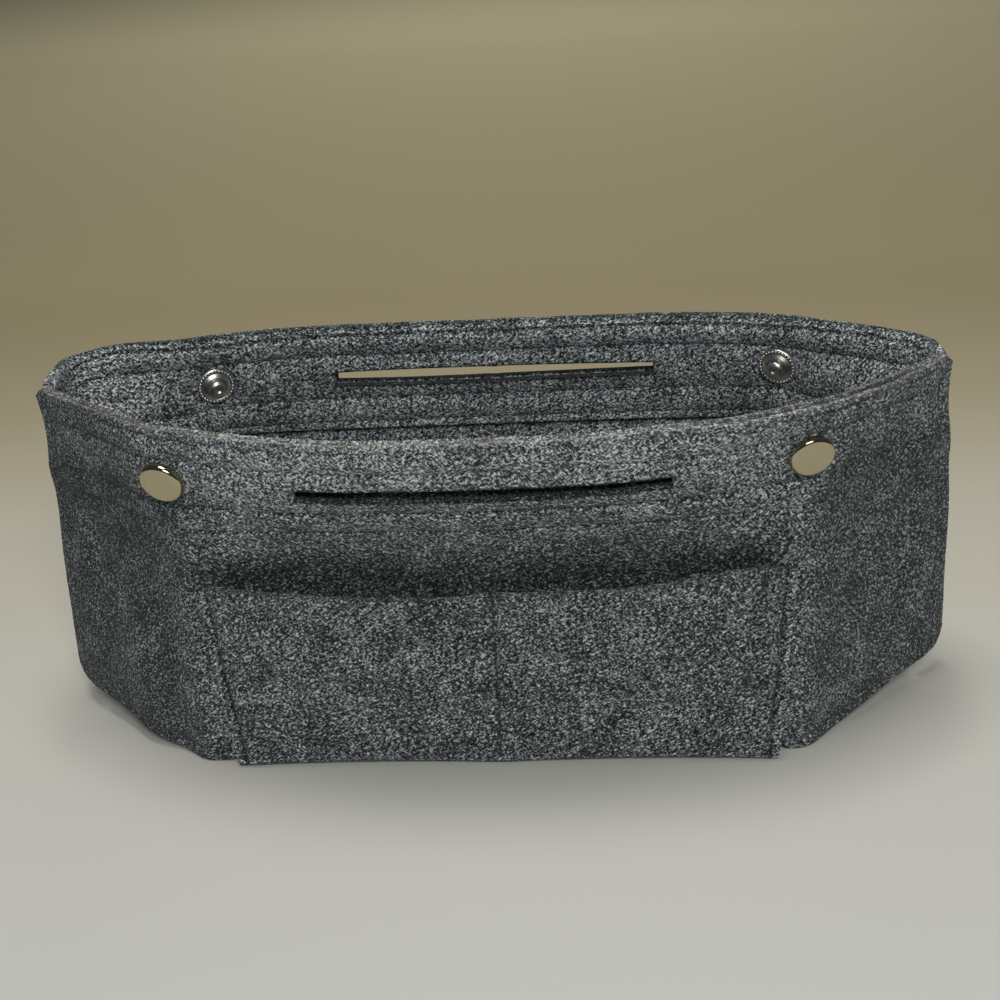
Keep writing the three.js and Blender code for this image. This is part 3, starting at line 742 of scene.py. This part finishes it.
def strip_sheet():
    half = [
        0.0, PINCH, LINE_NEIGHBOURHOOD, POCKET_STITCH - LINE_NEIGHBOURHOOD,
        POCKET_STITCH - PINCH, POCKET_STITCH, POCKET_STITCH + PINCH, POCKET_HALF_LENGTH,
    ]
    half_counts = [1, 5, 44, 5, 1, 1, 3]
    columns = spread([-x for x in half[:0:-1]] + half, half_counts[::-1] + half_counts)
    wall_rows, corner_rows, floor_rows = 36, 6, 22
    rows = 2 * wall_rows + 2 * corner_rows + floor_rows
    bm = bmesh.new()
    bmesh.ops.create_grid(bm, x_segments=len(columns) - 1, y_segments=rows, size=1.0)
    tone_and_painted_light = bm.verts.layers.float.new("tone_and_painted_light")
    for vert in bm.verts:
        x = columns[round((vert.co.x + 1.0) / 2.0 * (len(columns) - 1))]
        row = round((vert.co.y + 1.0) / 2.0 * rows)
        side = "front" if row <= rows / 2 else "rear"
        step = min(row, rows - row)
        low = PANEL_FOOT + STRIP_ROUND * pocket_bell(x)
        if step <= wall_rows:
            uneven = noise.noise(Vector((x / MOUTH_UNEVEN_LENGTH, MOUTH_SEED[side], 0.0)))
            mouth = mouth_height(x) + MOUTH_UNEVEN * uneven
            z = lerp(mouth, low, step / wall_rows)
            vert.co = strip_point(side, x, z)
            edge = smooth(abs(x), POCKET_STITCH + STRIP_EDGE, POCKET_HALF_LENGTH)
            painted_groove_shade = bell(off_pocket_line(x), 0.0, POCKET_LINE_PAINTED_SHADE_WIDTH)
            # painted shade over the strip and in the grooves of its sewn lines
            vert[tone_and_painted_light] = STRIP_EDGE_PALE * edge - POCKET_LINE_PAINTED_SHADE * painted_groove_shade + STRIP_PAINTED_SHADE
        elif step <= wall_rows + corner_rows:
            vert.co = strip_corner(side, x, (step - wall_rows) / corner_rows * math.pi / 2)
        else:
            front, rear = strip_corner("front", x, math.pi / 2), strip_corner("rear", x, math.pi / 2)
            share = (row - wall_rows - corner_rows) / floor_rows
            vert.co = front.lerp(rear, share)
    piece = thicken(put_in_scene("pocket_strip_felt", bm, heather_felt, "felt"))
    flattens(piece)
    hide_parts("pocket_strip")


# Sewing: rows of single stitches, each one a short tight bead of thread
UPRIGHT = Matrix.Rotation(math.pi / 2, 4, "Y")


def sew(bm, place_at, length, normal_at):
    count = round(length / STITCH_PITCH)
    for number in range(count):
        share = (number + 0.5) / count
        half = STITCH_LENGTH / length / 2
        start, end = place_at(share - half), place_at(share + half)
        along = (end - start).normalized()
        up = normal_at(share)
        across = along.cross(up).normalized()
        up = across.cross(along).normalized()
        turn = Matrix((along, across, up)).transposed().to_4x4()
        size = Matrix.Diagonal((STITCH_LENGTH / 2, THREAD / 2, THREAD / 2, 1.0))
        place = Matrix.Translation((start + end) / 2) @ turn @ size @ UPRIGHT
        bmesh.ops.create_uvsphere(bm, u_segments=6, v_segments=4, radius=1.0, matrix=place)


def stitched(name, bm, anchor_y, keep, *nodes):
    piece = put_in_scene(name, bm, sewing_thread, "thread")
    flattens(piece)
    if nodes:
        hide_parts(*nodes)


# How far rows of stitches stand out of the felt or sink into it, and how far they start or stop short
RIM_SEWING_PROUD, RIM_SEWING_SHORT = 0.12, 1.5
POCKET_SEWING_SUNK, POCKET_SEWING_SHORT = 0.92, 1.0
BASE_SEWING_SUNK, BASE_SEWING_LEAD, BASE_SEWING_SHORT = 0.3, 2.0, 1.0
SIDE_SEAM_SUNK = 0.2


def rim_sewing(side, face):
    outer = face == "outer"
    depth = STITCH_DRAW - RIM_SEWING_PROUD if outer else RIM_STACK - STITCH_DRAW + RIM_SEWING_PROUD
    end = SEAM_HALF_LENGTH - RIM_SEWING_SHORT
    bm = bmesh.new()
    for below in STITCHES_BELOW_RIM.values():
        z = HEIGHT - below

        def place_at(share):
            u = lerp(-end, end, share)
            return off_wall(tucked_wall, side, u, z, waviness(side, u, z) - depth)

        def normal_at(share):
            return outward(tucked_wall, side, lerp(-end, end, share), z)

        sew(bm, place_at, 2 * end, normal_at)
    nodes = [f"{side}_{line}_stitch" for line in STITCHES_BELOW_RIM] if outer else []
    anchor = OUTER_SEWING_ANCHOR if outer else INNER_SEWING_ANCHOR
    stitched(f"{side}_rim_sewing_{face}", bm, WALLS[side]["sign"] * anchor, CLOSED_KEEP, *nodes)


def pocket_sewing(side):
    bm = bmesh.new()
    low = PANEL_FOOT + FELT
    for x in POCKET_LINES.values():
        high = mouth_height(x) - POCKET_SEWING_SHORT

        def place_at(share):
            z = lerp(low, high, share)
            lift = LAYER_GAP + FELT - POCKET_SEWING_SUNK + pocket_bulge(x, z) + loose_foot(x, z)
            return off_wall(plain_wall, side, strip_x(x, z) / taper(z), z, lift)

        def normal_at(share):
            z = lerp(low, high, share)
            return outward(plain_wall, side, strip_x(x, z) / taper(z), z)

        sew(bm, place_at, high - low, normal_at)
    nodes = [f"{side}_pocket_{line}_stitch" for line in POCKET_LINES]
    stitched(f"{side}_pocket_sewing", bm, 0.0, STRIP_KEEP, *nodes)


def base_sewing(side):
    bm = bmesh.new()
    start, stop = BASE_HALF_LENGTH - BASE_SEWING_LEAD, SEAM_HALF_LENGTH - BASE_SEWING_SHORT
    for end in (-1, 1):
        def place_at(share):
            u = end * lerp(start, stop, share)
            z = chamfer_height(u) + FELT + LAYER_GAP
            return off_wall(tucked_wall, side, u, z, waviness(side, u, z) - BASE_SEWING_SUNK)

        def normal_at(share):
            u = end * lerp(start, stop, share)
            return outward(tucked_wall, side, u, chamfer_height(u) + FELT + LAYER_GAP)

        sew(bm, place_at, math.hypot(stop - start, BASE_HALF_DEPTH), normal_at)
    nodes = [f"{side}_base_{end}_stitch" for end in ("left", "right")]
    stitched(f"{side}_base_sewing", bm, WALLS[side]["sign"] * OUTER_SEWING_ANCHOR, CLOSED_KEEP, *nodes)


def side_seam(end, direction):
    u = direction * SEAM_STITCH
    low, high = FOOT_HEIGHT + FELT, HEIGHT - FELT
    for side in ("front", "rear"):
        bm = bmesh.new()

        def place_at(share):
            z = lerp(low, high, share)
            return off_wall(tucked_wall, side, u, z, waviness(side, u, z) - SIDE_SEAM_SUNK)

        def normal_at(share):
            return outward(tucked_wall, side, u, lerp(low, high, share))

        sew(bm, place_at, high - low, normal_at)
        nodes = [f"{end}_side_seam"] if side == "front" else []
        anchor = WALLS[side]["sign"] * OUTER_SEWING_ANCHOR
        stitched(f"{end}_seam_sewing_{side}", bm, anchor, CLOSED_KEEP, *nodes)


# Press studs sit square on the wall: local +Z points out of the wall, 0 on the panel's outer face

def snap_place(side, direction):
    u, z = direction * SNAP_FROM_MIDDLE[side], HEIGHT - SNAP_BELOW_RIM
    normal = outward(tucked_wall, side, u, z)
    turn = Vector((0.0, 0.0, 1.0)).rotation_difference(normal).to_matrix().to_4x4()
    return Matrix.Translation(tucked_wall(side, u, z)) @ turn


# Turns a pressed metal piece from its half section, given as radius and height
def turn_metal(bm, section, steps=56):
    verts = [bm.verts.new((radius, 0.0, height)) for radius, height in section]
    edges = [bm.edges.new(pair) for pair in zip(verts, verts[1:])]
    bmesh.ops.spin(
        bm, geom=verts + edges, cent=(0, 0, 0), axis=(0, 0, 1), angle=2 * math.pi, steps=steps,
        use_merge=True,
    )
    bmesh.ops.remove_doubles(bm, verts=bm.verts, dist=1e-4)
    bmesh.ops.recalc_face_normals(bm, faces=bm.faces)


# Rounds the corners of a half section: each one but the first and last may carry a radius as its third number.
# A rounding takes up less than half of the edge on either side of it
ROUNDING_MOST = 0.48


def rounded(section, steps=4):
    points = []
    for number, corner in enumerate(section):
        here = Vector(corner[:2])
        radius = corner[2] if len(corner) > 2 else 0.0
        if not radius or number in (0, len(section) - 1):
            points.append(tuple(here))
            continue
        before, after = Vector(section[number - 1][:2]), Vector(section[number + 1][:2])
        reach_in = min(radius, (before - here).length * ROUNDING_MOST)
        reach_out = min(radius, (after - here).length * ROUNDING_MOST)
        first = here + (before - here).normalized() * reach_in
        last = here + (after - here).normalized() * reach_out
        for step in range(steps + 1):
            share = step / steps
            points.append(tuple(first.lerp(here, share).lerp(here.lerp(last, share), share)))
    return points


def set_metal(name, bm, place, material, slot, body, node):
    bmesh.ops.transform(bm, matrix=place, verts=bm.verts)
    piece = put_in_scene(name, bm, material, slot, body)
    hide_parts(node)


# Heights of the pressed metal from the panel's outer face, and lengths of some of its parts
CAP_POST = 0.6
CAP_POST_HEAD = 0.4
SOCKET_FACE = SEAT_IN - 3.4
SOCKET_LIP = 0.5
STUD_FLANGE = SEAT_IN - 1.1
STUD_SHOULDER = STUD_FLANGE - 1.4
STUD_KNOB = 1.0
STUD_BEADS = 30
EYELET_TOP = 1.3


# Domed cap with a rolled edge, and its post through the felt
def snap_cap():
    bm = bmesh.new()
    floor = SEAT_IN - CAP_POST
    head = floor - CAP_POST_HEAD
    turn_metal(bm, rounded([
        (0.0, head), (2.8, head, 0.2), (2.8, floor, 0.1), (1.9, floor, 0.1), (1.9, 0.5, 0.2),
        (5.5, 0.5, 0.2), (5.7, -0.05, 0.2), (6.25, 0.25, 0.5), (6.25, 1.9, 0.8), (5.55, 2.58, 0.6),
        (3.0, 2.7, 1.5), (0.0, 2.75),
    ]))
    return bm


# Socket with a raised ring round its mouth
def snap_socket():
    bm = bmesh.new()
    face, lip, plate = SOCKET_FACE, SOCKET_FACE + SOCKET_LIP, SEAT_IN - 0.5
    turn_metal(bm, rounded([
        (2.2, plate), (3.9, plate, 0.1), (3.9, lip, 0.1), (2.9, lip, 0.15), (2.9, face + 0.05, 0.3),
        (3.6, face, 0.3), (4.1, lip, 0.3), (4.6, face + 1.7, 0.6), (5.3, face + 2.2, 0.3),
        (5.75, face + 2.5, 0.3), (5.75, SEAT_IN, 0.3), (2.2, SEAT_IN), (2.2, plate),
    ]))
    return bm


# Open ring of spring wire under the socket's lip
def snap_spring():
    bm = bmesh.new()
    wire, ring, opening = 0.28, 2.72, 0.7
    height = SOCKET_FACE + SOCKET_LIP + 0.4
    section = bmesh.ops.create_circle(bm, cap_ends=True, segments=8, radius=wire)["verts"]
    stand = Matrix.Translation((ring, 0.0, height)) @ Matrix.Rotation(math.pi / 2, 4, "X")
    bmesh.ops.transform(bm, matrix=stand, verts=section)
    bmesh.ops.spin(
        bm, geom=list(bm.faces), cent=(0, 0, 0), axis=(0, 0, 1), angle=2 * math.pi - opening, steps=40,
        use_duplicate=False,
    )
    bmesh.ops.recalc_face_normals(bm, faces=bm.faces)
    return bm


# Stud: a beaded flange, a dished ring and the knob that the socket's spring grips
def snap_stud():
    bm = bmesh.new()
    flange, shoulder = STUD_FLANGE, STUD_SHOULDER
    tip = shoulder - STUD_KNOB
    turn_metal(bm, rounded([
        (0.0, tip + 0.55), (0.7, tip + 0.5, 0.3), (1.3, tip, 0.35), (1.7, tip, 0.4), (2.5, tip + 0.6, 0.5),
        (2.5, shoulder - 0.1, 0.2), (2.1, shoulder, 0.1), (2.1, flange + 0.3, 0.2), (2.5, flange + 0.3, 0.15),
        (2.95, flange - 0.55, 0.3), (3.3, flange - 0.6, 0.3), (4.5, flange + 0.35, 0.3),
        (4.8, flange + 0.1, 0.2), (5.55, flange + 0.05, 0.3), (5.9, flange + 0.5, 0.3), (5.9, SEAT_IN, 0.1),
        (1.6, SEAT_IN), (1.6, shoulder), (0.0, shoulder),
    ]))
    ring, size = Matrix.Translation((5.2, 0.0, flange + 0.02)), Matrix.Diagonal((0.42, 0.42, 0.38, 1.0))
    for number in range(STUD_BEADS):
        bead = Matrix.Rotation(2 * math.pi * number / STUD_BEADS, 4, "Z") @ ring @ size
        bmesh.ops.create_uvsphere(bm, u_segments=8, v_segments=6, radius=1.0, matrix=bead)
    return bm


# Eyelet: the rolled washer on the outside of the rear wall and the tube that clenches the stud
def snap_eyelet():
    bm = bmesh.new()
    top, end = EYELET_TOP, STUD_SHOULDER + 0.5
    turn_metal(bm, rounded([
        (0.0, end), (1.5, end, 0.1), (1.5, 0.45, 0.3), (4.2, 0.45, 0.2), (4.5, 0.0, 0.2), (4.8, 0.1, 0.2),
        (4.8, 0.8, 0.4), (4.2, top, 0.5), (1.9, top, 0.4), (1.0, top - 0.6, 0.4), (1.0, end + 1.5, 0.1),
        (0.0, end + 1.5),
    ]))
    return bm


# Materials. Colours are sRGB hex, and the sizes of patterns are in millimetres.

def colour(hex_code):
    channels = [int(hex_code[i:i + 2], 16) / 255 for i in (0, 2, 4)]
    return tuple(c / 12.92 if c <= 0.04045 else ((c + 0.055) / 1.055) ** 2.4 for c in channels) + (1.0,)


def per_mm(size):
    return 1.0 / (size * MM)


def connect(tree, node, inputs):
    for name, value in inputs.items():
        if isinstance(value, bpy.types.NodeSocket):
            tree.links.new(value, node.inputs[name])
        else:
            node.inputs[name].default_value = value
    return node


def add(tree, kind, inputs, **settings):
    node = tree.nodes.new(kind)
    for name, value in settings.items():
        setattr(node, name, value)
    return connect(tree, node, inputs)


# A new material with the tree of its nodes and the place on the object that patterns are drawn from
def new_material(name):
    material = bpy.data.materials.new(name)
    material.use_nodes = True
    tree = material.node_tree
    return material, tree, add(tree, "ShaderNodeTexCoord", {}).outputs["Object"]


def finish_material(material, inputs):
    connect(material.node_tree, material.node_tree.nodes["Principled BSDF"], inputs)
    return material


def grain(tree, place, size, detail, roughness=0.5, distortion=0.0):
    return add(tree, "ShaderNodeTexNoise", {
        "Vector": place, "Scale": per_mm(size), "Detail": detail, "Roughness": roughness,
        "Distortion": distortion,
    }).outputs["Fac"]


def lean(tree, place, rotation, stretch):
    return add(tree, "ShaderNodeMapping", {
        "Vector": place, "Rotation": rotation, "Scale": (1.0, 1.0, stretch),
    }, vector_type="TEXTURE").outputs["Vector"]


def sums(tree, operation, *values):
    return add(tree, "ShaderNodeMath", dict(enumerate(values)), operation=operation).outputs["Value"]


def attribute(tree, name):
    return add(tree, "ShaderNodeAttribute", {}, attribute_name=name).outputs["Fac"]


def map_range(tree, value, source=(0.0, 1.0), target=(0.0, 1.0)):
    return add(tree, "ShaderNodeMapRange", {
        "Value": value, "From Min": source[0], "From Max": source[1], "To Min": target[0], "To Max": target[1],
    }).outputs["Result"]


def bump(tree, height, strength, distance):
    return add(tree, "ShaderNodeBump", {
        "Height": height, "Strength": strength, "Distance": distance * MM}).outputs["Normal"]


def ramp(tree, value, stops, interpolation="LINEAR"):
    node = add(tree, "ShaderNodeValToRGB", {"Fac": value})
    node.color_ramp.interpolation = interpolation
    elements = node.color_ramp.elements
    while len(elements) < len(stops):
        elements.new(1.0)
    for element, (at, shade) in zip(elements, stops):
        element.position = at
        element.color = shade
    return node.outputs["Color"]


# Needle-punched polyester felt: dark and pale fibres carded together, so the eye sees salt and pepper specks
# about a millimetre across, softened into slow clouds, with no gloss and a faint bloom from the loose nap. The
# real fibres are about 0.03 mm thick, too fine to show, so they are drawn as leaning tufts of half a millimetre.
# Painted light and shade shift its tone up and down by a value on each vertex, and a worn rim is a little brown.
def make_heather_felt():
    material, tree, place = new_material("needle_punched_heather_felt")
    specks = grain(tree, place, 0.8, 3.0, 0.75, 0.8)
    lean_left = lean(tree, place, (0.2, math.radians(58), 0.3), 2.4)
    lean_right = lean(tree, place, (0.4, math.radians(-42), 0.0), 2.4)
    tufts = sums(tree, "ADD", grain(tree, lean_left, 0.5, 2.0, 0.6), grain(tree, lean_right, 0.5, 2.0, 0.6))
    clouds = grain(tree, place, 9.0, 2.0)
    carded = sums(tree, "MULTIPLY_ADD", clouds, 0.22, sums(tree, "ADD", specks, tufts))
    mix = map_range(tree, carded, (1.37, 1.87))
    # the vertex value shifts the tone for painted light and shade
    shade = ramp(tree, sums(tree, "ADD", mix, attribute(tree, "tone_and_painted_light")), [
        (0.0, colour("07090b")), (0.3, colour("2a3034")), (0.55, colour("697276")), (0.8, colour("acb5b8")),
        (1.0, colour("ebeff1"))])
    rub = sums(tree, "MULTIPLY", attribute(tree, "worn"), 0.22)
    worn_shade = add(tree, "ShaderNodeMix", {
        0: rub, 6: shade, 7: colour("8d8372")}, data_type="RGBA").outputs[2]
    return finish_material(material, {
        "Base Color": worn_shade, "Normal": bump(tree, mix, 0.7, 0.5), "Roughness": 0.95,
        "Specular IOR Level": 0.2, "Sheen Weight": 0.12, "Sheen Roughness": 0.6,
    })


# Spun polyester thread: dark grey, with the fine unevenness of its twisted plies along each stitch
def make_sewing_thread():
    material, tree, place = new_material("spun_polyester_thread")
    plies = grain(tree, place, 0.4, 2.0)
    shade = ramp(tree, plies, [(0.3, colour("1b1e21")), (0.7, colour("4a4f53"))])
    return finish_material(material, {
        "Base Color": shade, "Normal": bump(tree, plies, 0.5, 0.1), "Roughness": 0.75})


# Nickel plate: its marks vary both its gloss and its tint
def make_nickel(name, marks, gloss, tints):
    material, tree, place = new_material(name)
    pattern = grain(tree, place, *marks)
    tint = ramp(tree, pattern, [(0.3, colour(tints[0])), (0.7, colour(tints[1]))])
    return finish_material(material, {
        "Base Color": tint, "Roughness": map_range(tree, pattern, (0.3, 0.7), gloss), "Metallic": 1.0})


# Drawn spring steel wire, bright, with fine drawing marks in its gloss
def make_spring_steel():
    material, tree, place = new_material("drawn_spring_steel")
    gloss = map_range(tree, grain(tree, place, 0.25, 2.0), target=(0.22, 0.38))
    return finish_material(material, {"Base Color": colour("b4b3ae"), "Roughness": gloss, "Metallic": 1.0})


# Seamless paper with the light's falloff painted into it: pale in front, painted shade in warm olive behind the
# insert, and painted light making it paler again far back
def make_paper():
    material, tree, place = new_material("matt_seamless_paper")
    depth = add(tree, "ShaderNodeSeparateXYZ", {"Vector": place}).outputs["Y"]
    # painted shade and light: the ramp by depth stands in for how the light falls off over the paper
    shade = ramp(tree, map_range(tree, depth, (-0.2, 1.4)), [
        (0.05, colour("cacdcc")), (0.19, colour("c2bfb0")), (0.26, colour("a89f82")),
        (0.38, colour("8d8362")), (0.84, colour("dcd3ae"))], "B_SPLINE")
    return finish_material(material, {"Base Color": shade, "Roughness": 0.9})


heather_felt = make_heather_felt()
sewing_thread = make_sewing_thread()
# Nickel-plated brass, barrel polished: a mirror with hair-fine handling marks in its gloss. Its warm olive tint
# is painted reflection of the warm room, over nickel's own faint warmth
polished_nickel = make_nickel("polished_nickel_plate", (0.8, 4.0, 0.7), (0.06, 0.13), ("b5a98b", "c2b79b"))
# The same plate on the hidden halves, tumbled to satin: each pressed ring catches a broad soft light
satin_nickel = make_nickel("satin_nickel_plate", (0.5, 3.0, 0.6), (0.3, 0.4), ("d0cec8", "dddbd6"))
spring_steel = make_spring_steel()

strip_sheet()
base_sheet()
for side in WALLS:
    panel_sheet(side)
    facing_sheet(side)
    rim_sewing(side, "outer")
    rim_sewing(side, "inner")
    pocket_sewing(side)
    base_sewing(side)

for end, direction in (("left", -1), ("right", 1)):
    side_seam(end, direction)
    front, rear = snap_place("front", direction), snap_place("rear", direction)
    front_body, rear_body = f"front_{end}_snap", f"rear_{end}_snap"
    for kind, bm, place, material, slot, body in (
        ("cap", snap_cap(), front, polished_nickel, "nickel", front_body),
        ("socket", snap_socket(), front, satin_nickel, "nickel", front_body),
        ("spring", snap_spring(), front, spring_steel, "spring_wire", front_body),
        ("stud", snap_stud(), rear, satin_nickel, "nickel", rear_body),
        ("eyelet", snap_eyelet(), rear, satin_nickel, "nickel", rear_body),
    ):
        set_metal(f"{end}_{kind}", bm, place, material, slot, body, f"{end}_snap_{kind}")


# Studio, in metres: a floor of paper, a soft lamp in front, one overhead, one on the paper far behind, and a
# faint cool light all round
FLOOR_HALF = 4.0


def lay_floor():
    bm = bmesh.new()
    bmesh.ops.create_grid(bm, x_segments=8, y_segments=8, size=FLOOR_HALF)
    mesh = bpy.data.meshes.new("paper_floor")
    bm.to_mesh(mesh)
    bm.free()
    mesh.materials.append(make_paper())
    floor = bpy.data.objects.new("paper_floor", mesh)
    bpy.context.scene.collection.objects.link(floor)


def hang_lamp(name, place, aim, size, power, shade):
    lamp = bpy.data.lights.new(name, "AREA")
    lamp.shape = "RECTANGLE"
    lamp.size, lamp.size_y = size
    lamp.energy = power
    lamp.color = colour(shade)[:3]
    holder = bpy.data.objects.new(name, lamp)
    holder.location = place
    holder.rotation_euler = (Vector(aim) - Vector(place)).to_track_quat("-Z", "Y").to_euler()
    bpy.context.scene.collection.objects.link(holder)


def set_sky(strength, shade):
    world = bpy.data.worlds.new("studio_room")
    world.use_nodes = True
    sky = world.node_tree.nodes["Background"]
    sky.inputs["Color"].default_value = colour(shade)
    sky.inputs["Strength"].default_value = strength
    bpy.context.scene.world = world


# The camera stands in front, a little to the right, tilted as the photograph is. Its angles are in degrees, and
# its focal length is in widths of the picture
CAMERA_AZIMUTH, CAMERA_ELEVATION, CAMERA_ROLL = 3.74, 28.23, -3.61
CAMERA_TARGET = (1.6, 0.1, 65.5)
CAMERA_DISTANCE = 401.7
CAMERA_FOCAL = 1.346
SENSOR_WIDTH = 36.0


def place_camera():
    angles = (CAMERA_AZIMUTH, CAMERA_ELEVATION, CAMERA_ROLL)
    azimuth, elevation, roll = (math.radians(angle) for angle in angles)
    level = Vector((math.sin(azimuth), -math.cos(azimuth), 0.0))
    back = level * math.cos(elevation) + Vector((0.0, 0.0, math.sin(elevation)))
    right = Vector((math.cos(azimuth), math.sin(azimuth), 0.0))
    up = back.cross(right)
    tilted_right = right * math.cos(roll) + up * math.sin(roll)
    tilted_up = up * math.cos(roll) - right * math.sin(roll)
    turn = Matrix((tilted_right, tilted_up, back)).transposed().to_4x4()
    camera = bpy.data.objects.new("photo_camera", bpy.data.cameras.new("photo_camera"))
    camera.data.sensor_width = SENSOR_WIDTH
    camera.data.lens = CAMERA_FOCAL * SENSOR_WIDTH
    camera.data.clip_start = 0.01
    camera.matrix_world = Matrix.Translation((Vector(CAMERA_TARGET) + back * CAMERA_DISTANCE) * MM) @ turn
    bpy.context.scene.collection.objects.link(camera)
    bpy.context.scene.camera = camera


lay_floor()
hang_lamp("front_lamp", (0.15, -0.8, 0.85), (0.0, 0.0, 0.05), (0.5, 0.4), 6.0, "fffdf8")
hang_lamp("overhead_lamp", (-0.05, 0.07, 1.3), (0.0, 0.0, 0.0), (0.5, 0.4), 8.6, "fffaf2")
hang_lamp("backdrop_lamp", (0.0, 1.4, 0.9), (0.0, 1.3, 0.0), (0.8, 0.4), 2.5, "fff8ea")
set_sky(0.06, "d4e6ff")
place_camera()
bpy.context.scene.view_settings.view_transform = "Standard"
